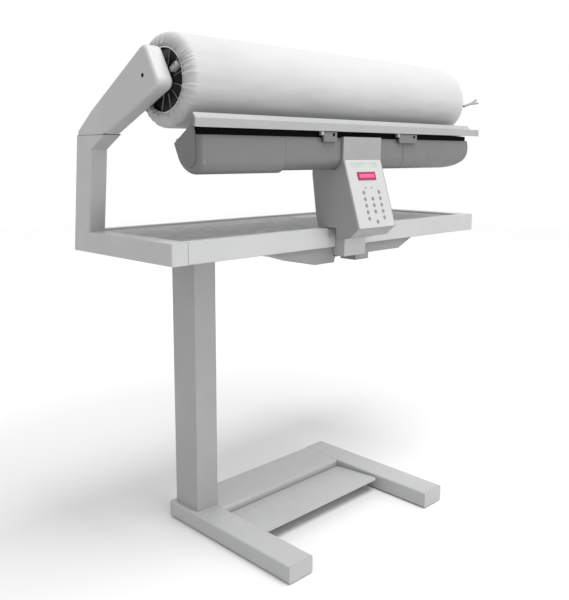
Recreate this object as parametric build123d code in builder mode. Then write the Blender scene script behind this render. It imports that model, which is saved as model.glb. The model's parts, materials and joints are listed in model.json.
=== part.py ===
"""Free-standing rotary ironer: a padded roller on one arm, a heated shoe on a lever, a table and a pedal base.

Millimetres, +Z up, +X to the right, the operator stands on the -Y side. The origin is on the floor, below the
middle of the overall box.
"""

from build123d import *

import math
import os

# Table
TABLE_WIDTH = 1000.0
TABLE_DEPTH = 340.0
TABLE_TOP = 692.0
RAIL_HEIGHT = 42.0
RAIL_THICK = 20.0
TABLE_BOTTOM = TABLE_TOP - RAIL_HEIGHT
LEFT = -TABLE_WIDTH / 2
FRONT = -117.0
BACK = FRONT + TABLE_DEPTH
END_CAP_THICK = 34.0
TRAY_TOP = TABLE_TOP - 4.0
TRAY_THICK = 4.0

# Side casing and arm, a hollow cheek at the left end
CHEEK_THICK = 37.4
WALL = 3.0
SEAM_HEIGHT = 885.0
ARM_ROUND = 8.0
ARM_RIM = 8.0

# Base
FOOT_WIDTH = 68.0
FOOT_TOP = 40.0
PAD_THICK = 2.0
FOOT_FRONT = FRONT - 106.0
FOOT_BACK = FRONT + 288.0
LEFT_FOOT_X = LEFT + 194.0
RIGHT_FOOT_X = LEFT + 663.0
CROSSBAR_FRONT = FRONT + 173.0
COLUMN_X = (LEFT + 206.0, LEFT + 267.0)
COLUMN_Y = (FRONT + 199.0, FRONT + 280.0)
BRACKET_THICK = 6.0

# Pedal
PEDAL_TOP = 24.5
PEDAL_THICK = 3.0
PEDAL_FRONT = FRONT + 33.0
PEDAL_PIVOT_Y = FRONT + 163.0
PEDAL_PIVOT_Z = 14.5
PEDAL_TILT = 4.2
PEDAL_PIN_R = 2.5

# Roller
ROLLER_Y = FRONT + 75.0
ROLLER_Z = 979.0
ROLLER_R = 86.0
ROLLER_START = LEFT + 41.0
ROLLER_END = LEFT + 945.0
COVER_THICK = 2.0
DRUM_R = 70.0
DRUM_WALL = 2.5
SHAFT_R = 12.0
RUNNING_GAP = 0.05

# Drive belt inside the arm
MOTOR_Y = FRONT + 236.0
MOTOR_Z = 911.0
ROLLER_PULLEY_R = 20.0
MOTOR_PULLEY_R = 9.0
BELT_GAP = 0.3
BELT_THICK = 2.0

# Heated shoe on its swinging lever; the shoe stands open by PRESS_ANGLE
PRESS_PIVOT_Y = FRONT + 250.0
PRESS_PIVOT_Z = 668.0
PRESS_PIN_R = 6.0
PRESS_ANGLE = 5.6
SHOE_R = ROLLER_R + 1.0
SHOE_THICK = 5.0
SHOE_BACK_ANGLE = 264.5
SHOE_FRONT_ANGLE = 217.0
SHOE_START = LEFT + 42.0
SHOE_END = LEFT + 898.0
TROUGH_START = LEFT + 40.0
TROUGH_SPLIT_LEFT = LEFT + 250.0
TROUGH_SPLIT_RIGHT = LEFT + 628.0
TROUGH_END = LEFT + 900.0
TROUGH_RISE = 4.5

# Finger guard bar
BAR_X = (LEFT + 24.0, LEFT + 936.0)
BAR_LIP_END = LEFT + 893.0
BAR_PIVOT_Y = FRONT - 36.5
BAR_PIVOT_Z = 888.5
BAR_PIN_R = 1.5

# Control head
HEAD_X = (LEFT + 413.0, LEFT + 538.0)
NECK_X = (LEFT + 441.0, LEFT + 512.0)
NECK_GAP = 1.2
PANEL_KNEE = (FRONT - 40.0, 838.0)
PANEL_FOOT = (FRONT - 86.0, 694.0)
PANEL_THICK = 2.0
KEY_R = 3.5
KEY_PITCH_X = 25.5
KEY_PITCH_Y = 14.0
KEY_FIRST_ROW = 73.0


def swing(y, z, angle):
    """Turn a side-view point about the lever pivot; a positive angle opens the shoe."""
    a = math.radians(angle)
    dy, dz = y - PRESS_PIVOT_Y, z - PRESS_PIVOT_Z
    return (
        PRESS_PIVOT_Y + dy * math.cos(a) - dz * math.sin(a),
        PRESS_PIVOT_Z + dy * math.sin(a) + dz * math.cos(a),
    )


SHOE_Y, SHOE_Z = swing(ROLLER_Y, ROLLER_Z, PRESS_ANGLE)


def on_shoe(radius, angle):
    """A side-view point at a radius and an angle about the shoe's centre of curvature."""
    a = math.radians(angle)
    return (SHOE_Y + radius * math.cos(a), SHOE_Z + radius * math.sin(a))


def from_front(points):
    """Side-view points measured from the table's front edge, moved into the frame."""
    return [(FRONT + y, z) for y, z in points]


def block(xs, ys, zs, mode=Mode.ADD):
    centre = ((xs[0] + xs[1]) / 2, (ys[0] + ys[1]) / 2, (zs[0] + zs[1]) / 2)
    with Locations(centre):
        Box(xs[1] - xs[0], ys[1] - ys[0], zs[1] - zs[0], mode=mode)


def prism(points, xs, mode=Mode.ADD):
    """A side-view outline extruded along X."""
    with BuildSketch(Plane.YZ.offset(xs[0])) as profile:
        with BuildLine():
            Polyline(*points, close=True)
        make_face()
    extrude(profile.sketch, amount=xs[1] - xs[0], mode=mode)


def rod(xs, y, z, radius, mode=Mode.ADD):
    """A cylinder along X."""
    with Locations(((xs[0] + xs[1]) / 2, y, z)):
        Cylinder(radius, xs[1] - xs[0], rotation=(0, 90, 0), mode=mode)


def roller_plane():
    """Its x is the roller's axis and its y is the radius."""
    return Plane(origin=(0, ROLLER_Y, ROLLER_Z), x_dir=(1, 0, 0), z_dir=(0, 0, 1))


def roller_axis():
    return Axis((0, ROLLER_Y, ROLLER_Z), (1, 0, 0))


# ---------------------------------------------------------------- base


def base_frame():
    """Two foot tubes, open at both ends, with a wide low crossbar welded between them at the back."""
    tube_y = (FOOT_FRONT + WALL, FOOT_BACK - WALL)
    beam_x = (LEFT_FOOT_X + FOOT_WIDTH, RIGHT_FOOT_X)
    beam_y = (CROSSBAR_FRONT, FOOT_BACK - WALL)
    with BuildPart() as frame:
        for x in (LEFT_FOOT_X, RIGHT_FOOT_X):
            block((x, x + FOOT_WIDTH), tube_y, (PAD_THICK, FOOT_TOP))
        fillet(frame.edges().filter_by(Axis.Y), radius=4)
        with BuildPart(mode=Mode.PRIVATE) as beam:
            block((beam_x[0] - 1, beam_x[1] + 1), beam_y, (PAD_THICK + 4, FOOT_TOP - 0.5))
            front_top = beam.edges().filter_by(Axis.X).sort_by_distance((0, beam_y[0], FOOT_TOP))[0]
            fillet(front_top, radius=8)
        add(beam.part)
        block(beam_x, (beam_y[0] + WALL, beam_y[1] - WALL), (PAD_THICK + 7, FOOT_TOP - 9), Mode.SUBTRACT)
        for x in (LEFT_FOOT_X, RIGHT_FOOT_X):
            inner_x = (x + WALL, x + FOOT_WIDTH - WALL)
            block(inner_x, tube_y, (PAD_THICK + WALL, FOOT_TOP - WALL), Mode.SUBTRACT)
    return frame.part


def foot_end_caps():
    plug_depth = 14.0
    inset = WALL + 0.1
    with BuildPart() as caps:
        for x in (LEFT_FOOT_X, RIGHT_FOOT_X):
            for y, inward in ((FOOT_FRONT, 1), (FOOT_BACK, -1)):
                face = sorted((y, y + inward * WALL))
                plug = sorted((y + inward * WALL, y + inward * (WALL + plug_depth)))
                with BuildPart(mode=Mode.PRIVATE) as cap:
                    block((x, x + FOOT_WIDTH), face, (PAD_THICK, FOOT_TOP))
                    fillet(cap.edges().filter_by(Axis.Y), radius=4)
                    block(
                        (x + inset, x + FOOT_WIDTH - inset),
                        plug,
                        (PAD_THICK + inset, FOOT_TOP - inset),
                    )
                add(cap.part)
    return caps.part


def floor_pads():
    pad_length = 40.0
    with BuildPart() as pads:
        for x in (LEFT_FOOT_X, RIGHT_FOOT_X):
            for y in (FOOT_FRONT + 8, FOOT_BACK - 8 - pad_length):
                block((x + 10, x + FOOT_WIDTH - 10), (y, y + pad_length), (0, PAD_THICK))
    return pads.part


def pedal_brackets():
    """Two lugs on the crossbar's front face, each with a welded stub pin for the pedal."""
    with BuildPart() as lugs:
        for lug_x, pin_x in (
            (LEFT_FOOT_X + FOOT_WIDTH + 14, LEFT_FOOT_X + FOOT_WIDTH + 5),
            (RIGHT_FOOT_X - 22, RIGHT_FOOT_X - 14),
        ):
            block((lug_x, lug_x + 8), (PEDAL_PIVOT_Y - 7, CROSSBAR_FRONT), (7.5, 20))
            rod((pin_x, pin_x + 9), PEDAL_PIVOT_Y, PEDAL_PIVOT_Z, PEDAL_PIN_R)
    return lugs.part


def pedal_plate():
    """A thin tread with rounded corners, raised at the front, on two rear ears that turn on the pins."""
    xs = (LEFT_FOOT_X + FOOT_WIDTH + 3, RIGHT_FOOT_X - 3)
    ys = (PEDAL_FRONT, CROSSBAR_FRONT - 5)
    pin_gap = PEDAL_PIN_R + RUNNING_GAP
    with BuildPart() as tread:
        block(xs, ys, (PEDAL_TOP - PEDAL_THICK, PEDAL_TOP))
        fillet(tread.edges().filter_by(Axis.Z), radius=12)
        rib_z = (PEDAL_TOP - PEDAL_THICK - 8, PEDAL_TOP - PEDAL_THICK)
        block((xs[0] + 2, xs[1] - 2), (ys[0] + 34, ys[0] + 37), rib_z)
        for x in (LEFT_FOOT_X + FOOT_WIDTH + 5.5, RIGHT_FOOT_X - 12.5):
            ear_x = (x, x + 7)
            ear_z = (PEDAL_PIVOT_Z - 5, PEDAL_TOP - PEDAL_THICK)
            block(ear_x, (PEDAL_PIVOT_Y - 6, PEDAL_PIVOT_Y + 2), ear_z)
            rod(ear_x, PEDAL_PIVOT_Y, PEDAL_PIVOT_Z, pin_gap, Mode.SUBTRACT)
    pin_axis = Axis((0, PEDAL_PIVOT_Y, PEDAL_PIVOT_Z), (1, 0, 0))
    return tread.part.rotate(pin_axis, -PEDAL_TILT)


def column():
    """A rectangular tube with a bolting plate and a rib welded on its top."""
    column_z = (FOOT_TOP, TABLE_BOTTOM - BRACKET_THICK)
    plate_x = (LEFT + 180, LEFT + 332)
    plate_y = (FRONT + 192, FRONT + 296)
    plate_z = (TABLE_BOTTOM - BRACKET_THICK, TABLE_BOTTOM)
    rib_y = FRONT + 239
    rib = [(COLUMN_X[1] - 1, plate_z[0]), (plate_x[1] - 8, plate_z[0]), (COLUMN_X[1] - 1, 606)]
    with BuildPart() as tube:
        block(COLUMN_X, COLUMN_Y, column_z)
        fillet(tube.edges().filter_by(Axis.Z), radius=3)
        inner_x = (COLUMN_X[0] + WALL, COLUMN_X[1] - WALL)
        inner_y = (COLUMN_Y[0] + WALL, COLUMN_Y[1] - WALL)
        block(inner_x, inner_y, column_z, Mode.SUBTRACT)
        block(plate_x, plate_y, plate_z)
        with BuildSketch(Plane.XZ.offset(-rib_y)):
            with BuildLine():
                Polyline(*rib, close=True)
            make_face()
        extrude(amount=3, both=True)
        for x in (plate_x[0] + 12, plate_x[1] - 14):
            for y in (plate_y[0] + 14, plate_y[1] - 14):
                with Locations((x, y, plate_z[0] + BRACKET_THICK / 2)):
                    Cylinder(4.2, BRACKET_THICK, mode=Mode.SUBTRACT)
    return tube.part


def column_bolts():
    """Four hexagon bolts that hold the bracket to the table."""
    with BuildPart() as bolts:
        for x in (LEFT + 192, LEFT + 318):
            for y in (FRONT + 206, FRONT + 282):
                with BuildSketch(Plane.XY.offset(TABLE_BOTTOM - BRACKET_THICK - 5)):
                    with Locations((x, y)):
                        RegularPolygon(7.5, 6)
                extrude(amount=5)
                with BuildSketch(Plane.XY.offset(TABLE_BOTTOM - BRACKET_THICK)):
                    with Locations((x, y)):
                        Circle(4.1)
                extrude(amount=BRACKET_THICK)
    return bolts.part


# ---------------------------------------------------------------- table


def front_rails():
    """The front rail in two lengths, with the lever's gap between them."""
    left_x = (LEFT + CHEEK_THICK, NECK_X[0] - NECK_GAP)
    right_x = (NECK_X[1] + NECK_GAP, -LEFT - END_CAP_THICK)
    with BuildPart() as rails:
        for xs in (left_x, right_x):
            block(xs, (FRONT, FRONT + RAIL_THICK), (TABLE_BOTTOM, TABLE_TOP))
        fillet(rails.edges().filter_by(Axis.X).group_by(Axis.Y)[0], radius=2)
        inner_y = (FRONT + 2, FRONT + RAIL_THICK - 2)
        for xs in (left_x, right_x):
            block(xs, inner_y, (TABLE_BOTTOM + 2, TABLE_TOP - 2), Mode.SUBTRACT)
    return rails.part


def rear_rail():
    xs = (LEFT + CHEEK_THICK, -LEFT - END_CAP_THICK)
    with BuildPart() as rail:
        block(xs, (BACK - RAIL_THICK, BACK), (TABLE_BOTTOM, TABLE_TOP))
        fillet(rail.edges().filter_by(Axis.X).group_by(Axis.Y)[-1], radius=2)
        inner_y = (BACK - RAIL_THICK + 2, BACK - 2)
        block(xs, inner_y, (TABLE_BOTTOM + 2, TABLE_TOP - 2), Mode.SUBTRACT)
        socket_x = (LEFT + 120, LEFT + 152)
        socket_z = (659, 683)
        block(socket_x, (BACK - RAIL_THICK + 2, BACK), socket_z, Mode.SUBTRACT)
    return rail.part


def power_inlet():
    """A recessed appliance inlet in the rear rail, with three flat pins."""
    with BuildPart() as inlet:
        block((LEFT + 120.2, LEFT + 151.8), (BACK - 17.5, BACK), (659.2, 682.8))
        block((LEFT + 123, LEFT + 149), (BACK - 15, BACK), (662, 680), Mode.SUBTRACT)
        for x, z in ((LEFT + 129, 668), (LEFT + 136, 674), (LEFT + 143, 668)):
            block((x - 1, x + 1), (BACK - 15.5, BACK - 3), (z - 2, z + 2))
    return inlet.part


def table_tray():
    """The recessed top sheet, notched at the front for the lever's neck."""
    xs = (LEFT + CHEEK_THICK, -LEFT - END_CAP_THICK)
    ys = (FRONT + RAIL_THICK, BACK - RAIL_THICK)
    with BuildPart() as tray:
        block(xs, ys, (TRAY_TOP - TRAY_THICK, TRAY_TOP))
        notch_x = (NECK_X[0] - NECK_GAP, NECK_X[1] + NECK_GAP)
        block(notch_x, (ys[0], FRONT + 50), (TRAY_TOP - TRAY_THICK, TRAY_TOP), Mode.SUBTRACT)
    return tray.part


def table_end_cap():
    with BuildPart() as cap:
        block((-LEFT - END_CAP_THICK, -LEFT), (FRONT, BACK), (TABLE_BOTTOM, TABLE_TOP))
        fillet(cap.edges().filter_by(Axis.Z).group_by(Axis.X)[-1], radius=5)
        fillet(cap.faces().sort_by(Axis.Z)[-1].edges().sort_by(Axis.X)[1:], radius=1.5)
        fillet(cap.edges().filter_by(Axis.Z).group_by(Axis.X)[0], radius=1.2)
        inner_x = (-LEFT - END_CAP_THICK, -LEFT - WALL)
        inner_y = (FRONT + WALL, BACK - WALL)
        block(inner_x, inner_y, (TABLE_BOTTOM + WALL, TABLE_TOP - WALL), Mode.SUBTRACT)
    return cap.part


def column_beam():
    """A channel under the tray that spreads the column's load to both rails."""
    xs = (LEFT + 180, LEFT + 332)
    ys = (FRONT + RAIL_THICK, BACK - RAIL_THICK)
    with BuildPart() as beam:
        block(xs, ys, (TABLE_BOTTOM, TRAY_TOP - TRAY_THICK))
        inner_x = (xs[0] + WALL, xs[1] - WALL)
        inner_z = (TABLE_BOTTOM + WALL, TRAY_TOP - TRAY_THICK)
        block(inner_x, ys, inner_z, Mode.SUBTRACT)
    return beam.part


def mechanism_pan():
    """The shallow cover under the table, with sloped ends, two bosses and a narrow rear extension."""
    floor_z = 627.0
    wall = 2.0
    ys = (FRONT + 6, FRONT + 188)
    outline = [(244, TABLE_BOTTOM), (730, TABLE_BOTTOM), (677, floor_z), (337, floor_z)]
    inner = [(252, TABLE_BOTTOM), (722, TABLE_BOTTOM), (675, floor_z + wall), (339, floor_z + wall)]
    boss = [(337, floor_z), (446, floor_z), (442, 615), (380, 615)]
    with BuildPart() as pan:
        with BuildSketch(Plane.XZ.offset(-ys[0])):
            with BuildLine():
                Polyline(*[(LEFT + x, z) for x, z in outline], close=True)
            make_face()
        extrude(amount=ys[0] - ys[1])
        block((LEFT + 425, LEFT + 528), (ys[1], FRONT + 276), (floor_z, TABLE_BOTTOM))
        with BuildSketch(Plane.XZ.offset(-ys[0])):
            with BuildLine():
                Polyline(*[(LEFT + x, z) for x, z in boss], close=True)
            make_face()
        extrude(amount=-96)
        block((LEFT + 516, LEFT + 562), (ys[0], ys[0] + 44), (613, floor_z))
        with BuildSketch(Plane.XZ.offset(-ys[0] - wall)):
            with BuildLine():
                Polyline(*[(LEFT + x, z) for x, z in inner], close=True)
            make_face()
        extrude(amount=ys[0] - ys[1] + 2 * wall, mode=Mode.SUBTRACT)
        block(
            (LEFT + 427, LEFT + 526),
            (ys[1] - wall, FRONT + 274),
            (floor_z + wall, TABLE_BOTTOM),
            Mode.SUBTRACT,
        )
        neck_gap = (NECK_X[0] - NECK_GAP, NECK_X[1] + NECK_GAP)
        block(neck_gap, (ys[0], ys[0] + wall), (floor_z + wall, TABLE_BOTTOM), Mode.SUBTRACT)
    return pan.part


def press_motor():
    """The gear motor that swings the shoe, inside the cover below the tray."""
    with BuildPart() as motor:
        rod((LEFT + 346, LEFT + 408), FRONT + 110, 653, 21)
        block((LEFT + 408, LEFT + 438), (FRONT + 86, FRONT + 134), (634, 678))
    return motor.part


def lever_pivot():
    """Two ears under the tray with the lever's pin welded across them."""
    with BuildPart() as pivot:
        for x in (LEFT + 443, LEFT + 502):
            ear_x = (x, x + 8)
            block(ear_x, (PRESS_PIVOT_Y - 16, PRESS_PIVOT_Y + 16), (652, TRAY_TOP - TRAY_THICK))
        rod((LEFT + 440, LEFT + 513), PRESS_PIVOT_Y, PRESS_PIVOT_Z, PRESS_PIN_R)
    return pivot.part


# ---------------------------------------------------------------- side casing and arm

CHEEK_OUTLINE = [
    (0, TABLE_BOTTOM),
    (340, TABLE_BOTTOM),
    (311, SEAM_HEIGHT),
    (207.5, SEAM_HEIGHT),
    (259.5, 857),
    (266, 796),
    (279, TABLE_TOP),
    (0, TABLE_TOP),
]
ARM_OUTLINE = [
    (207.5, SEAM_HEIGHT),
    (311, SEAM_HEIGHT),
    (310, 894),
    (257, 932),
    (70.2, 1042.3),
    (27.1, 965),
]
NOSE_TOP = (FRONT + 70.2, 1042.3)
NOSE_FRONT = (FRONT + 27.1, 965)


def arm_face(inset):
    """The arm's rounded outline, drawn on the active sketch and shrunk by the inset."""
    with BuildLine() as line:
        Polyline(*from_front(ARM_OUTLINE), close=True)
    face = make_face(line.edges())
    corners = [face.vertices().sort_by_distance(place)[0] for place in (NOSE_TOP, NOSE_FRONT)]
    fillet(corners, radius=15)
    if inset:
        offset(amount=-inset, kind=Kind.INTERSECTION, mode=Mode.REPLACE)


def side_casing():
    xs = (LEFT, LEFT + CHEEK_THICK)
    with BuildPart() as casing:
        prism(from_front(CHEEK_OUTLINE), xs)
        fillet(casing.faces().sort_by(Axis.X)[0].edges(), radius=2.5)
        front_right = casing.edges().filter_by(Axis.Z).sort_by_distance((xs[1], FRONT, 670))[0]
        fillet(front_right, radius=1.5)
        with BuildSketch(Plane.YZ.offset(xs[0] + WALL)):
            with BuildLine():
                Polyline(*from_front(CHEEK_OUTLINE), close=True)
            make_face()
            offset(amount=-WALL, kind=Kind.INTERSECTION, mode=Mode.REPLACE)
        extrude(amount=CHEEK_THICK, mode=Mode.SUBTRACT)
    return casing.part


def side_inner_cover():
    """The plate that closes the upright's inner side."""
    outline = [(282.4, 695.5), (330.9, 695.5), (308, 881.8), (220, 881.8), (262.7, 858.8), (269.2, 797)]
    with BuildPart() as cover:
        prism(from_front(outline), (LEFT + CHEEK_THICK - 2, LEFT + CHEEK_THICK))
    return cover.part


def upright_beam():
    """The steel member inside the casing that carries the arm."""
    outline = [(292, 655), (330, 655), (303, 880), (271, 880)]
    with BuildPart() as beam:
        prism(from_front(outline), (LEFT + 8, LEFT + 32))
    return beam.part


def arm_casing():
    """The arm's rounded shell, open on its inner side behind the cover plate."""
    with BuildPart() as casing:
        with BuildSketch(Plane.YZ.offset(LEFT)):
            arm_face(0)
        extrude(amount=CHEEK_THICK)
        for face in (casing.faces().sort_by(Axis.X)[0], casing.faces().sort_by(Axis.X)[-1]):
            rim = [edge for edge in face.edges() if edge.center().Z > SEAM_HEIGHT + 0.5]
            fillet(rim, radius=ARM_ROUND)
        with BuildSketch(Plane.YZ.offset(LEFT + WALL)):
            arm_face(ARM_RIM)
        extrude(amount=CHEEK_THICK, mode=Mode.SUBTRACT)
    return casing.part


def arm_inner_cover():
    with BuildPart() as cover:
        with BuildSketch(Plane.YZ.offset(LEFT + CHEEK_THICK - 2)):
            arm_face(ARM_RIM + 0.2)
            with Locations((ROLLER_Y, ROLLER_Z)):
                Circle(SHAFT_R + 4, mode=Mode.SUBTRACT)
        extrude(amount=2)
    return cover.part


def bearing_housing():
    with BuildPart() as housing:
        rod((LEFT + 23, LEFT + 35.3), ROLLER_Y, ROLLER_Z, 22)
        rod((LEFT + 23, LEFT + 35.3), ROLLER_Y, ROLLER_Z, SHAFT_R + RUNNING_GAP, Mode.SUBTRACT)
    return housing.part


def drive_motor():
    with BuildPart() as motor:
        rod((LEFT + 22, LEFT + 35.3), MOTOR_Y, MOTOR_Z, 17.5)
        rod((LEFT + 22, LEFT + 35.3), MOTOR_Y, MOTOR_Z, 4 + RUNNING_GAP, Mode.SUBTRACT)
    return motor.part


def motor_pulley():
    with BuildPart() as pulley:
        rod((LEFT + 9.5, LEFT + 20.5), MOTOR_Y, MOTOR_Z, MOTOR_PULLEY_R)
        rod((LEFT + 20.5, LEFT + 33), MOTOR_Y, MOTOR_Z, 4)
    return pulley.part


def drive_belt():
    with BuildPart() as belt:
        with BuildSketch(Plane.YZ.offset(LEFT + 10)):
            for grow, mode in ((BELT_GAP + BELT_THICK, Mode.ADD), (BELT_GAP, Mode.SUBTRACT)):
                with BuildSketch(mode=Mode.PRIVATE) as loop:
                    with Locations((ROLLER_Y, ROLLER_Z)):
                        Circle(ROLLER_PULLEY_R + grow)
                    with Locations((MOTOR_Y, MOTOR_Z)):
                        Circle(MOTOR_PULLEY_R + grow)
                    make_hull()
                add(loop.sketch_local, mode=mode)
        extrude(amount=10)
    return belt.part


# ---------------------------------------------------------------- roller


def roller_shaft():
    with BuildPart() as shaft:
        rod((LEFT + 8, LEFT + 924), ROLLER_Y, ROLLER_Z, SHAFT_R)
    return shaft.part


def roller_pulley():
    with BuildPart() as pulley:
        rod((LEFT + 9.5, LEFT + 20.5), ROLLER_Y, ROLLER_Z, ROLLER_PULLEY_R)
        rod((LEFT + 9.5, LEFT + 20.5), ROLLER_Y, ROLLER_Z, SHAFT_R, Mode.SUBTRACT)
    return pulley.part


def roller_hub(x, front_end):
    """A spoked wheel between the shaft and the drum; the one at the arm has a collar and an outer lip."""
    width = 12.0
    xs = (x, x + width)
    rim_r = DRUM_R - DRUM_WALL - 0.1
    with BuildPart() as hub:
        rod(xs, ROLLER_Y, ROLLER_Z, rim_r)
        rod(xs, ROLLER_Y, ROLLER_Z, rim_r - 6, Mode.SUBTRACT)
        rod(xs, ROLLER_Y, ROLLER_Z, 24)
        for n in range(6):
            with Locations(Plane(origin=(x + width / 2, ROLLER_Y, ROLLER_Z), z_dir=(1, 0, 0))):
                with PolarLocations(42, 1, start_angle=60 * n + 10):
                    Box(40, 7, width)
        if front_end:
            rod((x - 12.5, x), ROLLER_Y, ROLLER_Z, 20)
            rod((x - 6, x + 1), ROLLER_Y, ROLLER_Z, rim_r - 5)
            rod((x - 6, x), ROLLER_Y, ROLLER_Z, rim_r - 9, Mode.SUBTRACT)
            rod((x - 12.5, x), ROLLER_Y, ROLLER_Z, 20)
        rod((x - 13, x + width), ROLLER_Y, ROLLER_Z, SHAFT_R, Mode.SUBTRACT)
    return hub.part


def drum():
    with BuildPart() as tube:
        rod((LEFT + 46, LEFT + 928), ROLLER_Y, ROLLER_Z, DRUM_R)
        rod((LEFT + 46, LEFT + 928), ROLLER_Y, ROLLER_Z, DRUM_R - DRUM_WALL, Mode.SUBTRACT)
    return tube.part


def roller_padding():
    """Felt wound on the drum, thinner towards its rounded right shoulder."""
    inside = DRUM_R + 0.1
    outline = [
        (47.5, inside),
        (47.5, 76),
        (51, 80),
        (58, 83.5),
        (870, 83.5),
        (890, 82.3),
        (905, 79.6),
        (918, 75.8),
        (928, 71.3),
        (928, inside),
    ]
    with BuildPart() as felt:
        with BuildSketch(roller_plane()):
            with BuildLine():
                Polyline(*[(LEFT + x, r) for x, r in outline], close=True)
            make_face()
        revolve(axis=roller_axis())
    return felt.part


def roller_cover():
    """The cloth cover: a short round shoulder at the left, a long one at the right, open at both ends."""
    left_r, left_length = 62.5, 17.0
    right_r, right_length = 58.0, 75.0
    left_x = ROLLER_START + left_length
    right_x = ROLLER_END - right_length
    with BuildPart() as cloth:
        with BuildSketch(roller_plane()):
            with BuildLine():
                for grow, flat_r in ((0.0, ROLLER_R), (COVER_THICK, ROLLER_R - COVER_THICK)):
                    EllipticalCenterArc(
                        (left_x, left_r), left_length - grow, flat_r - left_r, start_angle=90, arc_size=90
                    )
                    Line((left_x, flat_r), (right_x, flat_r))
                    EllipticalCenterArc(
                        (right_x, right_r), right_length - grow, flat_r - right_r, start_angle=0, arc_size=90
                    )
                Line((ROLLER_START, left_r), (ROLLER_START + COVER_THICK, left_r))
                Line((ROLLER_END, right_r), (ROLLER_END - COVER_THICK, right_r))
            make_face()
        revolve(axis=roller_axis())
    return cloth.part


def cord_clip():
    """The stiff forked clip that holds the right drawstring, standing out of the cover's end."""
    root = Vector(ROLLER_END + 0.4, ROLLER_Y - 65, ROLLER_Z - 9)
    reach = Vector(0.93, -0.22, 0.28).normalized()
    stem = 24.0
    prong = 27.0
    with BuildPart() as clip:
        with BuildSketch(Plane(origin=root, z_dir=reach)):
            Circle(3.2)
        extrude(amount=stem)
        fork = root + reach * (stem - 2)
        for spread in (0.16, -0.16):
            direction = (reach + Vector(0, spread * 0.4, spread)).normalized()
            with BuildSketch(Plane(origin=fork, z_dir=direction)):
                Circle(2.6)
            extrude(amount=prong)
    return clip.part


# ---------------------------------------------------------------- heated shoe


def ring_sector(inner_r, outer_r, start, end):
    """A sector of a ring about the shoe's centre, drawn on the active sketch."""
    middle = (start + end) / 2
    with BuildLine() as line:
        ThreePointArc(on_shoe(outer_r, start), on_shoe(outer_r, middle), on_shoe(outer_r, end))
        Line(on_shoe(outer_r, end), on_shoe(inner_r, end))
        ThreePointArc(on_shoe(inner_r, end), on_shoe(inner_r, middle), on_shoe(inner_r, start))
        Line(on_shoe(inner_r, start), on_shoe(outer_r, start))
    make_face(line.edges())


def shoe_plate():
    with BuildPart() as shoe:
        with BuildSketch(Plane.YZ.offset(SHOE_START)):
            ring_sector(SHOE_R, SHOE_R + SHOE_THICK, SHOE_FRONT_ANGLE, SHOE_BACK_ANGLE)
        extrude(amount=SHOE_END - SHOE_START)
    return shoe.part


def heating_elements():
    with BuildPart() as heaters:
        for angle in (245, 257):
            y, z = on_shoe(SHOE_R + SHOE_THICK + 5, angle)
            rod((SHOE_START + 20, SHOE_END - 45), y, z, 4)
    return heaters.part


def trough_section(rise, inset):
    """The trough's cross-section below the shoe, drawn on the active sketch."""
    contact_r = SHOE_R + SHOE_THICK + 0.3
    rear_lip = on_shoe(contact_r, 270)
    top_z = 881.0
    top_y = SHOE_Y - math.sqrt(contact_r**2 - (top_z - SHOE_Z) ** 2)
    belly_line = [(-34, 836.5), (-26.7, 818.8), (-9, 811.5), (22.2, 822.3), (40, 850)]
    front_foot, nose, lowest, belly, rear = from_front([(y, z + rise) for y, z in belly_line])
    with BuildLine() as line:
        Polyline((top_y, top_z), (FRONT - 31, top_z), (FRONT - 34, 870), front_foot)
        ThreePointArc(front_foot, nose, lowest)
        ThreePointArc(lowest, belly, rear)
        Line(rear, rear_lip)
        ThreePointArc(rear_lip, on_shoe(contact_r, 254), (top_y, top_z))
    make_face(line.edges())
    if inset:
        offset(amount=-inset, kind=Kind.INTERSECTION, mode=Mode.REPLACE)


def trough_shell(xs, rise, wall_left, wall_right, rounded_end):
    """One length of the trough's plastic shell, open towards the shoe; a left wall has soft front corners."""
    wall = 2.5
    corner = 12.0
    with BuildPart() as shell:
        with BuildSketch(Plane.YZ.offset(xs[0])):
            trough_section(rise, 0)
        extrude(amount=xs[1] - xs[0])
        if rounded_end:
            round_corner(xs[1], 816, 95, 44)
        if wall_left:
            end_edges = shell.faces().sort_by(Axis.X)[0].edges()
            front_edges = [edge for edge in end_edges if edge.center().Y < FRONT - 20]
            fillet([edge for edge in front_edges if edge.center().Z < 880], radius=corner)
        with BuildPart(mode=Mode.PRIVATE) as hollow:
            start = xs[0] + (corner - 4 if wall_left else 0)
            end = xs[1] - (wall if wall_right else 0)
            with BuildSketch(Plane.YZ.offset(start)):
                trough_section(rise, wall)
            extrude(amount=end - start)
            if rounded_end:
                round_corner(end, 816 + wall, 93, 42)
            with BuildSketch(Plane.YZ.offset(start)):
                ring_sector(SHOE_R, SHOE_R + SHOE_THICK + 6, 241, 266)
            extrude(amount=end - start)
        add(hollow.part, mode=Mode.SUBTRACT)
    return shell.part


def trough_left():
    """The left length, with a flat end plate that closes the shoe's hollow beside the roller."""
    plate = [(38, 866), (-9, 897), (-20, 893), (-22, 880), (-22, 838)]
    plate += [(-17, 829), (-8, 824), (6, 826), (20, 835), (30, 849)]
    with BuildPart() as length:
        add(trough_shell((TROUGH_START, TROUGH_SPLIT_LEFT), 0, True, False, False))
        prism(from_front(plate), (TROUGH_START - 1.6, TROUGH_START - 0.1))
    return length.part


def round_corner(end_x, bottom_z, across, up):
    """Keep only what lies inside a front view whose lower right corner is a quarter ellipse."""
    with BuildSketch(Plane.XZ.offset(-FRONT - 200)) as view:
        with BuildLine():
            Polyline(
                (end_x - across, bottom_z),
                (LEFT, bottom_z),
                (LEFT, 930),
                (end_x, 930),
                (end_x, bottom_z + up),
            )
            EllipticalCenterArc(
                (end_x - across, bottom_z + up), across, up, start_angle=270, arc_size=90
            )
        make_face()
    extrude(view.sketch, amount=400, both=True, mode=Mode.INTERSECT)


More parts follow.
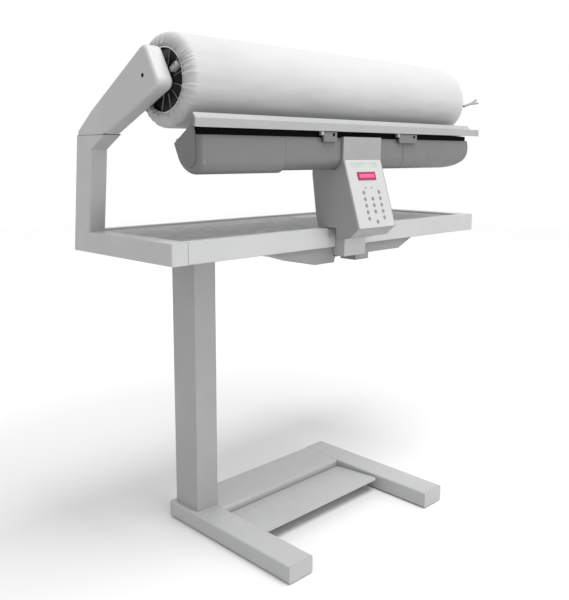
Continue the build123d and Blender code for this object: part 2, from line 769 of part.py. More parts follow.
def shoe_gasket():
    """The black strip between the shell and the bar, cut away where the head and the lugs stand."""
    outline = from_front([(-30, 881), (-22, 881), (-22, 891.5), (-30, 891.5)])
    with BuildPart() as strip:
        prism(outline, (SHOE_START, SHOE_END - 6))
    return strip.part


def bar_lugs():
    """Two brackets on the trough's front, each with a fixed stub pin for the bar."""
    with BuildPart() as lugs:
        for x, width in ((LEFT + 352, 40), (LEFT + 605, 66)):
            block((x, x + width), (FRONT - 40, FRONT - 34.2), (872, 892))
            rod((x - 9, x + 1), BAR_PIVOT_Y, BAR_PIVOT_Z, BAR_PIN_R)
    return lugs.part


def finger_guard_bar():
    """The long bar in front of the roller: an upright face, a lip that leans back and two small ears."""
    face = [(-42, 893), (-42, 908.5), (-39, 908.5), (-39, 893)]
    lip = [(-42, 908.5), (-35.5, 917.5), (-33.2, 915.8), (-38.4, 908.5)]
    with BuildPart() as bar:
        prism(from_front(face), BAR_X)
        prism(from_front(lip), (BAR_X[0], BAR_LIP_END))
        for x in (LEFT + 344, LEFT + 597):
            ear_x = (x, x + 7)
            block(ear_x, (FRONT - 41, FRONT - 34.2), (885, 893.5))
            rod(ear_x, BAR_PIVOT_Y, BAR_PIVOT_Z, BAR_PIN_R + RUNNING_GAP, Mode.SUBTRACT)
    return bar.part


# ---------------------------------------------------------------- lever and control head


def press_lever():
    """The lever below the table and the narrow neck that comes up through the gap to the head."""
    outline = [(22, 641), (22, 655.8), (236, 681), (262, 681), (262, 655), (236, 655)]
    xs = (LEFT + 455, LEFT + 498)
    with BuildPart() as lever:
        prism(from_front(outline), xs)
        block(NECK_X, (FRONT - 24, FRONT + 24), (631, 694))
        rod(xs, PRESS_PIVOT_Y, PRESS_PIVOT_Z, PRESS_PIN_R + RUNNING_GAP, Mode.SUBTRACT)
    return lever.part


def panel_plane(lift=0.0):
    """Centred on the head's width at the knee: x to the right, y up the slope, z out of the panel."""
    slope = Vector(0, PANEL_KNEE[0] - PANEL_FOOT[0], PANEL_KNEE[1] - PANEL_FOOT[1]).normalized()
    out = Vector(1, 0, 0).cross(slope)
    origin = Vector((HEAD_X[0] + HEAD_X[1]) / 2, PANEL_KNEE[0], PANEL_KNEE[1]) + out * lift
    return Plane(origin=origin, x_dir=(1, 0, 0), z_dir=out)


HEAD_OUTLINE = [
    (-40, 883),
    (-40, 835.8),
    (-84.6, 696),
    (-62, 676),
    (-24, 668),
    (-24, 694),
    (27, 694),
    (34, 721),
    (46, 805),
    (46, 824),
    (20, 840),
    (-20, 860),
    (-31, 880),
    (-34.3, 883),
]


def control_head():
    """The hollow head below and in front of the trough; its sloped front is cut out behind the panel."""
    with BuildPart() as head:
        prism(from_front(HEAD_OUTLINE), HEAD_X)
        with BuildSketch(Plane.YZ.offset(HEAD_X[0] - 1)):
            trough_section(TROUGH_RISE, -0.3)
        extrude(amount=HEAD_X[1] - HEAD_X[0] + 2, mode=Mode.SUBTRACT)
        inner = [(-36, 832), (-79, 699), (-60, 681), (-28, 674), (-28, 698), (24, 698), (31, 722), (42, 804)]
        inner += [(42, 815), (19, 815), (-3, 811), (-25, 808), (-36, 820)]
        prism(from_front(inner), (HEAD_X[0] + WALL, HEAD_X[1] - WALL), Mode.SUBTRACT)
        with BuildSketch(panel_plane(-PANEL_THICK)):
            with Locations((0, -75.5)):
                RectangleRounded(119.4, 147.4, 4.2)
        extrude(amount=PANEL_THICK + 1, mode=Mode.SUBTRACT)
        with BuildSketch(panel_plane()):
            with Locations((0, -77.5)):
                Rectangle(104, 131)
        extrude(amount=-9, mode=Mode.SUBTRACT)
    return head.part


def key_places():
    """Key centres on the panel plane: three columns, five rows with gaps, and one below."""
    places = []
    for row in range(5):
        for column_number in (-1, 0, 1):
            if column_number == 0 and row in (0, 4):
                continue
            places.append((column_number * KEY_PITCH_X + 5, -(KEY_FIRST_ROW + row * KEY_PITCH_Y)))
    places.append((5, -(KEY_FIRST_ROW + 4 * KEY_PITCH_Y + 8)))
    return places


DISPLAY_SIZE = (86, 10)
DISPLAY_PLACE = (-0.5, -14)


def control_panel():
    with BuildPart() as panel:
        with BuildSketch(panel_plane(-PANEL_THICK)):
            with Locations((0, -75.5)):
                RectangleRounded(119, 147, 4)
            with Locations(*key_places()):
                Circle(KEY_R + 0.3, mode=Mode.SUBTRACT)
            with Locations(DISPLAY_PLACE):
                Rectangle(*DISPLAY_SIZE, mode=Mode.SUBTRACT)
        extrude(amount=PANEL_THICK)
    return panel.part


def display_window():
    with BuildPart() as window:
        with BuildSketch(panel_plane(-PANEL_THICK)):
            with Locations(DISPLAY_PLACE):
                Rectangle(*DISPLAY_SIZE)
        extrude(amount=PANEL_THICK - 0.4)
    return window.part


def circuit_board():
    with BuildPart() as board:
        with BuildSketch(panel_plane(-PANEL_THICK - 6)):
            with Locations((0, -76)):
                Rectangle(100, 124)
        extrude(amount=1.6)
    return board.part


def key(place):
    """A round push key with a flange behind the panel that keeps it in."""
    with BuildPart() as button:
        with BuildSketch(panel_plane(-PANEL_THICK - 1.3)):
            with Locations(place):
                Circle(KEY_R + 1.4)
        extrude(amount=1)
        with BuildSketch(panel_plane(-PANEL_THICK - 0.3)):
            with Locations(place):
                Circle(KEY_R)
        extrude(amount=PANEL_THICK + 1.5)
    return button.part


PIECES = {
    "base_frame": base_frame(),
    "foot_end_caps": foot_end_caps(),
    "floor_pads": floor_pads(),
    "pedal_brackets": pedal_brackets(),
    "pedal_plate": pedal_plate(),
    "column": column(),
    "column_bolts": column_bolts(),
    "column_beam": column_beam(),
    "front_rails": front_rails(),
    "rear_rail": rear_rail(),
    "power_inlet": power_inlet(),
    "table_tray": table_tray(),
    "table_end_cap": table_end_cap(),
    "mechanism_pan": mechanism_pan(),
    "press_motor": press_motor(),
    "lever_pivot": lever_pivot(),
    "side_casing": side_casing(),
    "side_inner_cover": side_inner_cover(),
    "upright_beam": upright_beam(),
    "arm_casing": arm_casing(),
    "arm_inner_cover": arm_inner_cover(),
    "bearing_housing": bearing_housing(),
    "drive_motor": drive_motor(),
    "motor_pulley": motor_pulley(),
    "drive_belt": drive_belt(),
    "roller_shaft": roller_shaft(),
    "roller_pulley": roller_pulley(),
    "left_hub": roller_hub(LEFT + 52, True),
    "right_hub": roller_hub(LEFT + 905, False),
    "drum": drum(),
    "roller_padding": roller_padding(),
    "roller_cover": roller_cover(),
    "cord_clip": cord_clip(),
    "shoe_plate": shoe_plate(),
    "heating_elements": heating_elements(),
    "trough_left": trough_left(),
    "trough_middle": trough_shell(
        (TROUGH_SPLIT_LEFT, TROUGH_SPLIT_RIGHT - 1.2), TROUGH_RISE, False, False, False
    ),
    "trough_right": trough_shell((TROUGH_SPLIT_RIGHT, TROUGH_END), TROUGH_RISE, False, True, True),
    "shoe_gasket": shoe_gasket(),
    "bar_lugs": bar_lugs(),
    "finger_guard_bar": finger_guard_bar(),
    "press_lever": press_lever(),
    "control_head": control_head(),
    "control_panel": control_panel(),
    "display_window": display_window(),
    "circuit_board": circuit_board(),
}
for number, place in enumerate(key_places(), start=1):
    PIECES[f"key_{number:02d}"] = key(place)

os.makedirs("parts", exist_ok=True)
for name, piece in PIECES.items():
    piece.label = name
    export_step(piece, f"parts/{name}.step")
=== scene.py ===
"""Looks of the rotary ironer: materials, gathered cloth cover, small details, floor, lights and camera."""

import json
import math

import bmesh
import bpy
from mathutils import Euler, Matrix, Vector, noise


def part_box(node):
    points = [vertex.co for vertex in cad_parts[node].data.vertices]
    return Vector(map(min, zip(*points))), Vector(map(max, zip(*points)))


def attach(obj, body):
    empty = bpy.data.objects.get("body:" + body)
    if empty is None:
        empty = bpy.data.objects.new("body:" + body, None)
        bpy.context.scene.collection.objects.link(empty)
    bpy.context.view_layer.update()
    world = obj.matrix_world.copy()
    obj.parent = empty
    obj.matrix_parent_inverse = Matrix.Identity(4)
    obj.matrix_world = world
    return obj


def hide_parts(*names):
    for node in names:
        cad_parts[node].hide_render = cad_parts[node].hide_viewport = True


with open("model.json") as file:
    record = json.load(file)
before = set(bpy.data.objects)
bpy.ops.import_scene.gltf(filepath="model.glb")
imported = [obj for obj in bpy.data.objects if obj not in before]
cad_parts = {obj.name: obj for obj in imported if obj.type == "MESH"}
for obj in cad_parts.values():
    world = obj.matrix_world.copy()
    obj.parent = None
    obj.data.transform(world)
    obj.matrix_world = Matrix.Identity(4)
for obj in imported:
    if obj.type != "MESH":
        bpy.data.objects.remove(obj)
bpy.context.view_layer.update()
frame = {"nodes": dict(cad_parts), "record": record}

STAND, ROLLER, PRESS = "stand", "roller", "press_unit"
ALONG_X, ALONG_Y = Vector((1, 0, 0)), Vector((0, 1, 0))


# ---------------------------------------------------------------- places read from the frame


def corners(node):
    """A node's lowest and highest corners at rest."""
    return [Vector(corner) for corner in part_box(node)]


def middle(node):
    low, high = corners(node)
    return (low + high) / 2


COVER_LOW, COVER_HIGH = corners("roller_cover")
ARM_LOW, ARM_HIGH = corners("arm_casing")
PANEL_LOW, PANEL_HIGH = corners("control_panel")

ROLLER_Y = (COVER_LOW.y + COVER_HIGH.y) / 2
ROLLER_Z = (COVER_LOW.z + COVER_HIGH.z) / 2
ROLLER_R = (COVER_HIGH.z - COVER_LOW.z) / 2
COVER_START, COVER_END = COVER_LOW.x, COVER_HIGH.x

# The panel leans: SLOPE runs up it along a column of keys, OUTWARD points out of it.
PANEL_THICK = 0.002
SLOPE = (middle("key_01") - middle("key_12")).normalized()
OUTWARD = ALONG_X.cross(SLOPE).normalized()
PANEL_TOP = Vector((
    (PANEL_LOW.x + PANEL_HIGH.x) / 2,
    PANEL_HIGH.y - PANEL_THICK * abs(OUTWARD.y),
    PANEL_HIGH.z,
))

HUB_FACE_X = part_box("left_hub")[0][0] + 0.0115
TRAY_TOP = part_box("table_tray")[1][2]
LUG_FACE_Y = corners("bar_lugs")[0].y


# ---------------------------------------------------------------- materials


class Nodes:
    """A material's node tree, with short calls for adding and linking nodes."""

    def __init__(self, name):
        self.material = bpy.data.materials.new(name)
        self.material.use_nodes = True
        self.tree = self.material.node_tree
        self.shader = self.tree.nodes["Principled BSDF"]
        self.coords = self.add("ShaderNodeTexCoord").outputs["Object"]

    def add(self, kind, inputs=None, **settings):
        node = self.tree.nodes.new(kind)
        for key, value in settings.items():
            setattr(node, key, value)
        for key, value in (inputs or {}).items():
            if isinstance(value, bpy.types.NodeSocket):
                self.tree.links.new(value, node.inputs[key])
            else:
                node.inputs[key].default_value = value
        return node

    def math(self, operation, *values):
        """A Math node's output, for two or three sockets or numbers."""
        return self.add("ShaderNodeMath", dict(enumerate(values)), operation=operation).outputs[0]

    def link(self, socket, name):
        self.tree.links.new(socket, self.shader.inputs[name])

    def set(self, **values):
        for key, value in values.items():
            self.shader.inputs[key.replace("_", " ")].default_value = value

    def noise(self, scale, detail=3.0, roughness=0.5, coords=None):
        inputs = {"Vector": coords or self.coords, "Scale": scale, "Detail": detail, "Roughness": roughness}
        return self.add("ShaderNodeTexNoise", inputs).outputs["Fac"]

    def ramp(self, value, low, high, start=0.35, end=0.65):
        """A value mapped to two colours, or to two grey levels when they are numbers."""
        node = self.add("ShaderNodeValToRGB", {"Fac": value})
        for element, place, level in zip(node.color_ramp.elements, (start, end), (low, high)):
            element.position = place
            element.color = (*level, 1) if isinstance(level, tuple) else (level, level, level, 1)
        return node.outputs["Color"]

    def bump(self, height, strength, distance, normal=None):
        inputs = {"Height": height, "Strength": strength, "Distance": distance}
        if normal:
            inputs["Normal"] = normal
        return self.add("ShaderNodeBump", inputs).outputs["Normal"]


def shade(colour, factor):
    return tuple(channel * factor for channel in colour)


def painted(name, colour, roughness=0.42, grain=900.0, soft_edge=0.0012, dirt=0.05):
    """Powder coat or a satin moulding: fine grain, faint tone changes and softened edges."""
    nodes = Nodes(name)
    tone = nodes.noise(5.0, detail=5.0, roughness=0.6)
    nodes.link(nodes.ramp(tone, shade(colour, 1 - dirt), shade(colour, 1 + dirt / 2)), "Base Color")
    gloss = nodes.noise(38.0)
    nodes.link(nodes.ramp(gloss, roughness - 0.06, roughness + 0.08), "Roughness")
    rounded = nodes.add("ShaderNodeBevel", {"Radius": soft_edge}, samples=4).outputs["Normal"]
    nodes.link(nodes.bump(nodes.noise(grain, detail=2.0), 0.10, 0.0002, rounded), "Normal")
    return nodes.material


def metal(name, colour, roughness=0.35, streak=(4.0, 220.0, 220.0)):
    """Bare metal with fine drawing lines along X."""
    nodes = Nodes(name)
    stretched = nodes.add("ShaderNodeMapping", {"Vector": nodes.coords, "Scale": streak}).outputs["Vector"]
    lines = nodes.noise(2.5, detail=4.0, roughness=0.6, coords=stretched)
    nodes.link(nodes.ramp(lines, shade(colour, 0.88), shade(colour, 1.04)), "Base Color")
    nodes.link(nodes.ramp(lines, roughness - 0.08, roughness + 0.1), "Roughness")
    nodes.link(nodes.bump(lines, 0.15, 0.0001), "Normal")
    nodes.set(Metallic=1.0)
    return nodes.material


def rubber(name, colour=(0.0015, 0.0015, 0.0016)):
    """Matt black rubber with a little dust."""
    nodes = Nodes(name)
    dust = nodes.noise(60.0, detail=4.0, roughness=0.6)
    nodes.link(nodes.ramp(dust, colour, shade(colour, 1.9)), "Base Color")
    nodes.link(nodes.ramp(dust, 0.62, 0.85), "Roughness")
    nodes.link(nodes.bump(nodes.noise(1400.0, detail=2.0), 0.3, 0.0003), "Normal")
    nodes.set(Specular_IOR_Level=0.03)
    return nodes.material


def woven(name, colour, threads=520.0, strength=0.22):
    """Plain-weave cotton: warp and weft ridges, slubs, soft creases and a little sheen."""
    nodes = Nodes(name)
    split = nodes.add("ShaderNodeSeparateXYZ", {"Vector": nodes.coords})
    warped = nodes.noise(90.0, detail=2.0)
    waves = []
    for axis in ("X", "Z"):
        along = nodes.math("MULTIPLY", split.outputs[axis], threads * math.tau)
        waves.append(nodes.math("SINE", nodes.math("MULTIPLY_ADD", warped, 1.5, along)))
    weave = nodes.math("MULTIPLY", *waves)
    cloth_tone = nodes.noise(7.0, detail=5.0, roughness=0.6)
    slubs = nodes.noise(160.0, roughness=0.7)
    mixed = nodes.math("MULTIPLY_ADD", slubs, 0.25, cloth_tone)
    nodes.link(nodes.ramp(mixed, shade(colour, 0.94), colour, start=0.45, end=0.8), "Base Color")
    creases = nodes.bump(nodes.noise(14.0, detail=4.0, roughness=0.55), 0.25, 0.004)
    nodes.link(nodes.bump(weave, strength, 0.0002, creases), "Normal")
    nodes.link(nodes.ramp(slubs, 0.82, 0.95), "Roughness")
    nodes.set(Sheen_Weight=0.25, Sheen_Roughness=0.5, Specular_IOR_Level=0.25)
    return nodes.material


def glossy(name, colour, roughness=0.16):
    """A clear or lacquered surface with faint smudges."""
    nodes = Nodes(name)
    smudges = nodes.noise(30.0, detail=4.0)
    nodes.link(nodes.ramp(smudges, shade(colour, 0.94), shade(colour, 1.04)), "Base Color")
    nodes.link(nodes.ramp(smudges, roughness - 0.04, roughness + 0.08), "Roughness")
    nodes.set(Coat_Weight=0.3)
    return nodes.material


LIGHT_GREY = (0.36, 0.363, 0.363)
MOULDING = {"grain": 1300.0}
LACQUER = {"roughness": 0.3, "grain": 1500.0, "soft_edge": 0.0005, "dirt": 0.06}

MATERIALS = {
    "grey_paint": painted("light_grey_powder_coat", LIGHT_GREY),
    "grey_plastic": painted(
        "light_grey_moulding", shade(LIGHT_GREY, 0.99), roughness=0.46, soft_edge=0.0016, **MOULDING
    ),
    "bar_paint": painted("guard_bar_paint", shade(LIGHT_GREY, 0.70)),
    # Darker copies of the grey paint: painted shade on the tray, the pan and the column.
    "tray_sheet": painted("tray_sheet", shade(LIGHT_GREY, 0.56), roughness=0.5),
    "pan_sheet": painted("pan_sheet", shade(LIGHT_GREY, 0.50), roughness=0.5),
    "column_paint": painted("column_powder_coat", shade(LIGHT_GREY, 0.80)),
    "trough_grey": painted("trough_moulding", shade(LIGHT_GREY, 0.30), roughness=0.40, soft_edge=0.003, **MOULDING),
    "head_grey": painted("head_moulding", shade(LIGHT_GREY, 0.60), roughness=0.44, soft_edge=0.002, **MOULDING),
    "black_rubber": rubber("black_rubber"),
    "zinc_steel": metal("zinc_plated_steel", (0.55, 0.56, 0.57)),
    "black_plastic": painted(
        "black_moulding", (0.010, 0.010, 0.011), roughness=0.35, grain=1100.0, soft_edge=0.0008
    ),
    "motor_steel": metal("dull_steel", (0.36, 0.36, 0.37), roughness=0.45),
    "drum_aluminium": metal("drum_aluminium", (0.75, 0.76, 0.77), roughness=0.3),
    "felt": woven("wool_felt", (0.70, 0.67, 0.60), threads=260.0, strength=0.4),
    "cotton": woven("cotton_cover", (0.35, 0.35, 0.35)),
    "clip_grey": painted("grey_clip_moulding", (0.22, 0.22, 0.225), roughness=0.4, soft_edge=0.0006),
    "shoe_aluminium": metal("polished_shoe", (0.42, 0.425, 0.43), roughness=0.38),
    "panel_plastic": painted(
        "panel_foil", (0.35, 0.355, 0.35), roughness=0.34, grain=1800.0, soft_edge=0.0008, dirt=0.02
    ),
    "display_glass": glossy("display_window", (0.30, 0.35, 0.32)),
    "badge_pink": painted("badge_lacquer", (0.24, 0.004, 0.045), **LACQUER),
    "badge_pale": painted("pale_badge_lacquer", (0.55, 0.06, 0.20), **LACQUER),
    "board_green": glossy("circuit_board_lacquer", (0.03, 0.16, 0.08), roughness=0.3),
    "key_plastic": painted("key_moulding", (0.17, 0.175, 0.18), roughness=0.38, grain=1500.0, soft_edge=0.0005),
}

# CAD nodes in a darker tone of their slot's paint; on the tray, the pan and the column this darker tone is painted
# shade from the parts above them.
OWN_FINISH = {
    "table_tray": "tray_sheet",
    "mechanism_pan": "pan_sheet",
    "column": "column_paint",
    "finger_guard_bar": "bar_paint",
}
SLOT_OF = {part["node"]: part["material_slot"] for part in frame["record"]["subparts"]}

for node_name, node_object in frame["nodes"].items():
    node_finish = MATERIALS[OWN_FINISH.get(node_name, SLOT_OF[node_name])]
    for material_slot in node_object.material_slots:
        material_slot.material = node_finish
    if not node_object.material_slots:
        node_object.data.materials.append(node_finish)


# ---------------------------------------------------------------- mesh helpers

SHARP_ANGLE = math.radians(35)


def place(name, mesh, body, finish, smooth=True):
    """Put a mesh in the scene as a piece that rides on a body."""
    for face in mesh.polygons:
        face.use_smooth = smooth
    piece = bpy.data.objects.new(name, mesh)
    bpy.context.scene.collection.objects.link(piece)
    mesh.materials.append(MATERIALS[finish])
    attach(piece, body)
    return piece


def around(count):
    """The angles of a ring of points."""
    return [math.tau * number / count for number in range(count)]


def on_roller(x, radius, angle):
    """A point about the roller's axis."""
    return (x, ROLLER_Y + radius * math.cos(angle), ROLLER_Z + radius * math.sin(angle))


def grid_mesh(name, rows, closed_round=True, closed_along=False):
    """A quad mesh through rows of points; each row is a ring when closed_round is true."""
    count = len(rows[0])
    points = [point for row in rows for point in row]
    faces = []
    last_row = len(rows) if closed_along else len(rows) - 1
    last_column = count if closed_round else count - 1
    for i in range(last_row):
        for j in range(last_column):
            a, b = i * count, ((i + 1) % len(rows)) * count
            k = (j + 1) % count
            faces.append((a + j, a + k, b + k, b + j))
    mesh = bpy.data.meshes.new(name)
    mesh.from_pydata(points, [], faces)
    mesh.update()
    return mesh


def apply_modifiers(piece):
    """Replace a piece's mesh with its evaluated one."""
    bpy.context.view_layer.update()
    depsgraph = bpy.context.evaluated_depsgraph_get()
    mesh = bpy.data.meshes.new_from_object(piece.evaluated_get(depsgraph))
    piece.modifiers.clear()
    piece.data = mesh


def rounded_plate(name, size, bevel, matrix, body, finish):
    """A thin box with rounded corners and edges, set in place by a matrix."""
    thickness = size[2]
    build = bmesh.new()
    bmesh.ops.create_cube(build, size=1.0)
    bmesh.ops.scale(build, vec=size, verts=build.verts)
    upright = [edge for edge in build.edges if abs((edge.verts[0].co - edge.verts[1].co).z) > thickness / 2]
    bmesh.ops.bevel(build, geom=upright, offset=bevel, segments=5, profile=0.5, affect="EDGES")
    rim = [edge for edge in build.edges if edge.calc_face_angle(0) > 1.2]
    bmesh.ops.bevel(build, geom=rim, offset=thickness * 0.3, segments=2, profile=0.5, affect="EDGES")
    build.transform(matrix)
    mesh = bpy.data.meshes.new(name)
    build.to_mesh(mesh)
    build.free()
    return place(name, mesh, body, finish, smooth=False)


# ---------------------------------------------------------------- cloth cover
# Values in pairs are for the left end (0) and the right end (1).

COVER_STEPS_ROUND = 540
RUN_STEPS = 170
SHOULDER_STEPS = (32, 56)
SHOULDER = (0.017, 0.075)
HEM_R = (0.0615, 0.0565)
HEM_TUCK = (0.0075, 0.0065)
HEM_TUCK_DROP = 0.0025
HEM_ROLL = 0.0022
HEM_IN = 0.0035
HEM_SEED = (1.3, 3.1)
GATHER_REACH = (0.046, 0.050)
GATHER_DEPTH = (0.0064, 0.0032)
GATHER_CALM = 0.012
GATHER_LOW, GATHER_HIGH = -0.20, 0.60
COVER_SINK = 0.0010
CLOTH_THICK = 0.0012


def pleat(angle, seed, out=0.0):
    """Uneven gathers round a hem, from about -1 to 1; they wander and merge as they run out from it."""
    spot = Vector((math.cos(angle) * 7.5, math.sin(angle) * 7.5, seed))
    wide = noise.noise(spot * 0.8 + Vector((0, 0, out * 14.0)))
    fine = noise.noise(spot * 1.9 + Vector((0, 0, out * 22.0)))
    sharp = 1.0 - 3.4 * abs(noise.noise(spot * 1.25 + Vector((4.0, 1.0, out * 9.0))))
    return 0.5 * wide + 0.3 * fine + 0.9 * sharp - 0.35


def slackness(x, angle):
    """The cover's slight looseness on its padding, away from the hems."""
    spot = Vector((x * 5.0, math.cos(angle) * 1.6, math.sin(angle) * 1.6))
    return 0.0011 * noise.noise(spot) + 0.0005 * noise.noise(spot * 3.1)


def cover_profile():
    """Stations along the cover: x, radius and which end they belong to."""
    stations = [(COVER_START + HEM_TUCK[0], HEM_R[0] - HEM_TUCK_DROP, 0)]
    for step in range(SHOULDER_STEPS[0] + 1):
        turn = math.pi / 2 * step / SHOULDER_STEPS[0]
        x = COVER_START + SHOULDER[0] * (1 - math.cos(turn))
        stations.append((x, HEM_R[0] + (ROLLER_R - HEM_R[0]) * math.sin(turn), 0))
    run = COVER_END - SHOULDER[1] - (COVER_START + SHOULDER[0])
    for step in range(1, RUN_STEPS):
        end = 0 if step < RUN_STEPS / 2 else 1
        stations.append((COVER_START + SHOULDER[0] + run * step / RUN_STEPS, ROLLER_R, end))
    for step in range(SHOULDER_STEPS[1] + 1):
        turn = math.pi / 2 * step / SHOULDER_STEPS[1]
        x = COVER_END - SHOULDER[1] * (1 - math.sin(turn))
        stations.append((x, HEM_R[1] + (ROLLER_R - HEM_R[1]) * math.cos(turn), 1))
    stations.append((COVER_END - HEM_TUCK[1], HEM_R[1] - HEM_TUCK_DROP, 1))
    return stations


def build_cover():
    """The cotton cover, drawn tight by a cord in each hem."""
    profile = cover_profile()
    from_end = {}
    for end, order in ((0, profile), (1, profile[::-1])):
        walked, before = 0.0, order[0]
        for station in order:
            walked += math.dist(before[:2], station[:2])
            from_end[(station, end)] = walked
            before = station
    rows = []
    for number, station in enumerate(profile):
        x, radius, end = station
        ahead, behind = profile[min(number + 1, len(profile) - 1)], profile[max(number - 1, 0)]
        normal = Vector((behind[1] - ahead[1], ahead[0] - behind[0])).normalized()
        out = from_end[(station, end)]
        near = max(0.0, 1.0 - out / GATHER_REACH[end]) ** 1.2 * min(1.0, 0.2 + out / GATHER_CALM)
        row = []
        for angle in around(COVER_STEPS_ROUND):
            lift = max(GATHER_LOW, min(GATHER_HIGH, pleat(angle, HEM_SEED[end], out)))
            push = GATHER_DEPTH[end] * near * lift + slackness(x, angle) * (1 - near) - COVER_SINK
            row.append(on_roller(x + push * normal.x, radius + push * normal.y, angle))
        rows.append(row)
    piece = place("cloth_cover", grid_mesh("cloth_cover", rows), ROLLER, "cotton")
    solid = piece.modifiers.new("cloth", "SOLIDIFY")
    solid.thickness = CLOTH_THICK
    solid.offset = -1.0
    apply_modifiers(piece)
    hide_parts("roller_cover")


def hem_ring(name, x, radius, seed):
    """The gathered hem with the drawcord inside it."""
    rows = []
    for angle in around(COVER_STEPS_ROUND):
        fold = pleat(angle, seed)
        thick = HEM_ROLL * (1 + 0.30 * fold)
        row = []
        for turn in around(12):
            r = radius + thick * math.cos(turn) + 0.0009 * fold
            row.append(on_roller(x + thick * math.sin(turn), r, angle))
        rows.append(row)
    place(name, grid_mesh(name, rows, closed_along=True), ROLLER, "cotton")


build_cover()
hem_ring("left_hem", COVER_START + HEM_IN, HEM_R[0] - 0.0005, HEM_SEED[0])
hem_ring("right_hem", COVER_END - HEM_IN, HEM_R[1] - 0.0005, HEM_SEED[1])


# ---------------------------------------------------------------- details


def turned_disc(name, centre, axis, steps, body, finish):
    """A small turned disc: (distance along the axis, radius) steps about a centre, closed at both ends."""
    turn = axis.to_track_quat("Z", "Y").to_matrix()
    count = 24
    rows = []
    for along, radius in steps:
        ring = [Vector((radius * math.cos(angle), radius * math.sin(angle), along)) for angle in around(count)]
        rows.append([centre + turn @ point for point in ring])
    mesh = grid_mesh(name, rows)
    build = bmesh.new()
    build.from_mesh(mesh)
    bmesh.ops.holes_fill(build, edges=build.edges, sides=count)
    bmesh.ops.recalc_face_normals(build, faces=build.faces)
    build.to_mesh(mesh)
    build.free()
    place(name, mesh, body, finish)
    mesh.set_sharp_from_angle(angle=SHARP_ANGLE)


def turned_ring(name, x, outer, inner, width, finish):
    """A ring with bevelled edges about the roller's axis, which turns with the roller."""
    corner = min(width, outer - inner) * 0.25
    section = [
        (corner, inner), (0, inner + corner), (0, outer - corner), (corner, outer),
        (width - corner, outer), (width, outer - corner), (width, inner + corner), (width - corner, inner),
    ]
    rows = [[on_roller(x + dx, r, angle) for dx, r in section] for angle in around(96)]
    mesh = grid_mesh(name, rows, closed_along=True)
    place(name, mesh, ROLLER, finish)
    mesh.set_sharp_from_angle(angle=SHARP_ANGLE)


def on_panel(u, v, lift=0.0):
    """A place on the control panel: u to the right of its middle, v down from its top edge."""
    origin = PANEL_TOP + (Vector((u, 0, 0)) - SLOPE * v + OUTWARD * lift)
    turn = Matrix((ALONG_X, SLOPE, OUTWARD)).transposed().to_4x4()
    return Matrix.Translation(origin) @ turn


def on_hub(angle, lift=0.0):
    """A place on the left hub's face, turned to lie along a radius and raised towards the arm."""
    origin = on_roller(HUB_FACE_X - lift, HUB_RIB_R, angle)
    return Matrix.Translation(origin) @ (Matrix.Rotation(angle, 4, "X") @ Matrix.Rotation(math.pi / 2, 4, "Y"))


# The arm's screw.
ARM_SCREW_RISE, ARM_SCREW_PROUD = 0.005, 0.0002
turned_disc(
    "arm_screw",
    Vector((ARM_LOW.x - ARM_SCREW_PROUD, ROLLER_Y, ROLLER_Z + ARM_SCREW_RISE)),
    ALONG_X,
    [(0.0, 0.0036), (0.0003, 0.0040), (0.0012, 0.0040)],
    STAND,
    "black_rubber",
)

# A plain badge without lettering, and two small lamps below it.
BADGE_U, BADGE_V = 0.0005, 0.0355
LAMP_V = 0.061
badge_at, field_at = on_panel(BADGE_U, BADGE_V, 0.0006), on_panel(BADGE_U, BADGE_V, 0.0009)
rounded_plate("plain_badge", (0.060, 0.0175, 0.0016), 0.0012, badge_at, PRESS, "badge_pink")
rounded_plate("badge_field", (0.050, 0.0085, 0.0020), 0.0010, field_at, PRESS, "badge_pale")
for side, lamp_u in (("left", -0.0115), ("right", 0.0085)):
    lamp_at = on_panel(lamp_u, LAMP_V, 0.0004)
    rounded_plate(f"lamp_{side}", (0.005, 0.0022, 0.0008), 0.0005, lamp_at, PRESS, "key_plastic")

# The open left end of the roller: collar, rim, ribs and the clip between two of them.
HUB_RIB_R, HUB_RIBS = 0.041, 12
HUB_CLIP_ANGLE = math.radians(150)
turned_ring("hub_collar_ring", ARM_HIGH.x + 0.0024, 0.0212, 0.0203, 0.010, "zinc_steel")
turned_ring("hub_rim_ring", COVER_START + 0.0035, 0.0590, 0.0560, 0.004, "drum_aluminium")
for number in range(HUB_RIBS):
    rib_at = on_hub(math.tau * (number + 0.5) / HUB_RIBS)
    rounded_plate(f"hub_rib_{number + 1:02d}", (0.0016, 0.034, 0.0022), 0.0005, rib_at, ROLLER, "clip_grey")
clip_at = on_hub(HUB_CLIP_ANGLE, lift=0.004)
rounded_plate("hub_clip", (0.010, 0.024, 0.018), 0.003, clip_at, ROLLER, "panel_plastic")

# A black plate as painted shadow in the joint below the arm casing.
seam_shadow_at = Matrix.Translation(((ARM_LOW.x + ARM_HIGH.x) / 2 + 0.0008, ARM_HIGH.y - 0.090, ARM_LOW.z))
seam_shadow_size = (ARM_HIGH.x - ARM_LOW.x - 0.0006, 0.028, 0.0014)
rounded_plate("arm_seam", seam_shadow_size, 0.0006, seam_shadow_at, STAND, "black_rubber")

# The dark flat patch on the tray.
dark_patch_at = Matrix.Translation((0.150, 0.150, TRAY_TOP + 0.0003))
rounded_plate("tray_recess", (0.120, 0.060, 0.0006), 0.004, dark_patch_at, STAND, "clip_grey")

# Black discs as painted shade in the pin holes of the guard bar's brackets.
LUG_HOLE_Z = 0.8865
for number, lug_hole_x in enumerate((-0.118, 0.160), start=1):
    turned_disc(
        f"lug_hole_{number}",
        Vector((lug_hole_x, LUG_FACE_Y - 0.0004, LUG_HOLE_Z)),
        ALONG_Y,
        [(0.0, 0.0030), (0.0002, 0.0036), (0.0010, 0.0036)],
        PRESS,
        "black_rubber",
    )


# ---------------------------------------------------------------- stage

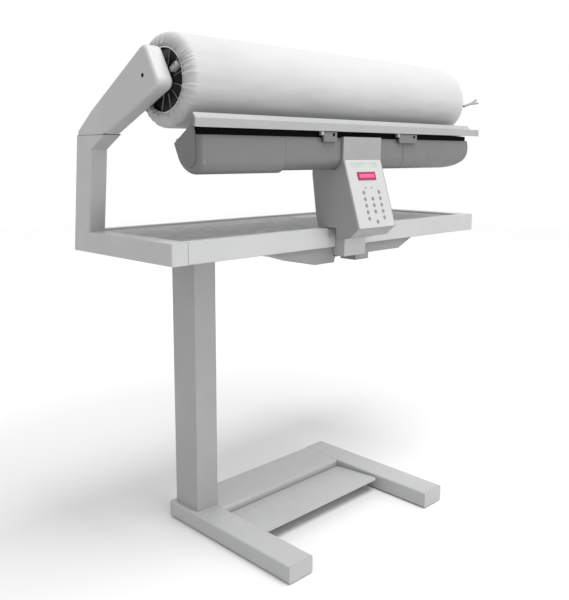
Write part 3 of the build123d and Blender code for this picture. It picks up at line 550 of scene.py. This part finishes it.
FLOOR_SIZE = 14.0
FLOOR_ROWS = 40
LIGHTS = {
    # name: (place, target, size, watts)
    "overhead": ((0.1, -0.95, 2.9), (0, -0.1, 0.4), (1.5, 1.5), 74),
    "front": ((-0.2, -3.2, 0.9), (0, 0, 0.8), (1.6, 1.6), 9),
    "low_fill": ((0.2, -2.4, 0.25), (0, -0.1, 0.95), (0.9, 0.5), 9),
}
CAMERA_PLACE = (-1.26266, -1.14811, 0.8437)
CAMERA_DOWN, CAMERA_TURN = 0.17357, -0.757275
CAMERA_LENS, CAMERA_SENSOR = 43.8, 36.0
CAMERA_SHIFT = (0.042, -0.0264)


def pale_floor():
    """A flat floor that is nearly white, with painted shade: a little darker under the object."""
    rows = []
    for step in range(FLOOR_ROWS):
        along = -FLOOR_SIZE / 2 + FLOOR_SIZE * step / (FLOOR_ROWS - 1)
        rows.append([(-FLOOR_SIZE / 2, along, 0.0), (FLOOR_SIZE / 2, along, 0.0)])
    mesh = grid_mesh("floor", rows, closed_round=False)
    floor = bpy.data.objects.new("floor", mesh)
    bpy.context.scene.collection.objects.link(floor)
    nodes = Nodes("pale_floor")
    distance = nodes.add("ShaderNodeVectorMath", {0: nodes.coords}, operation="LENGTH").outputs["Value"]
    scaled = nodes.math("MULTIPLY", nodes.math("MULTIPLY_ADD", nodes.noise(3.0), 0.05, distance), 0.3)
    nodes.link(nodes.ramp(scaled, 0.66, 0.97, start=0.30, end=0.72), "Base Color")
    nodes.set(Roughness=0.7)
    mesh.materials.append(nodes.material)


def area_light(name, location, target, size, power):
    data = bpy.data.lights.new(name, "AREA")
    data.shape = "RECTANGLE"
    data.size, data.size_y = size
    data.energy = power
    light = bpy.data.objects.new(name, data)
    light.location = location
    light.rotation_euler = (Vector(target) - Vector(location)).to_track_quat("-Z", "Y").to_euler()
    bpy.context.scene.collection.objects.link(light)


def white_world():
    world = bpy.data.worlds.new("studio")
    world.use_nodes = True
    background = world.node_tree.nodes["Background"].inputs
    background["Color"].default_value = (1, 1, 1, 1)
    background["Strength"].default_value = 1.0
    bpy.context.scene.world = world
    bpy.context.scene.view_settings.view_transform = "Standard"


def add_camera():
    data = bpy.data.cameras.new("camera")
    data.lens, data.sensor_width = CAMERA_LENS, CAMERA_SENSOR
    data.shift_x, data.shift_y = CAMERA_SHIFT
    camera = bpy.data.objects.new("camera", data)
    camera.location = CAMERA_PLACE
    camera.rotation_euler = Euler((math.pi / 2 - CAMERA_DOWN, 0.0, CAMERA_TURN))
    bpy.context.scene.collection.objects.link(camera)
    bpy.context.scene.camera = camera


pale_floor()
for light_name, light_values in LIGHTS.items():
    area_light(light_name, *light_values)
white_world()
add_camera()
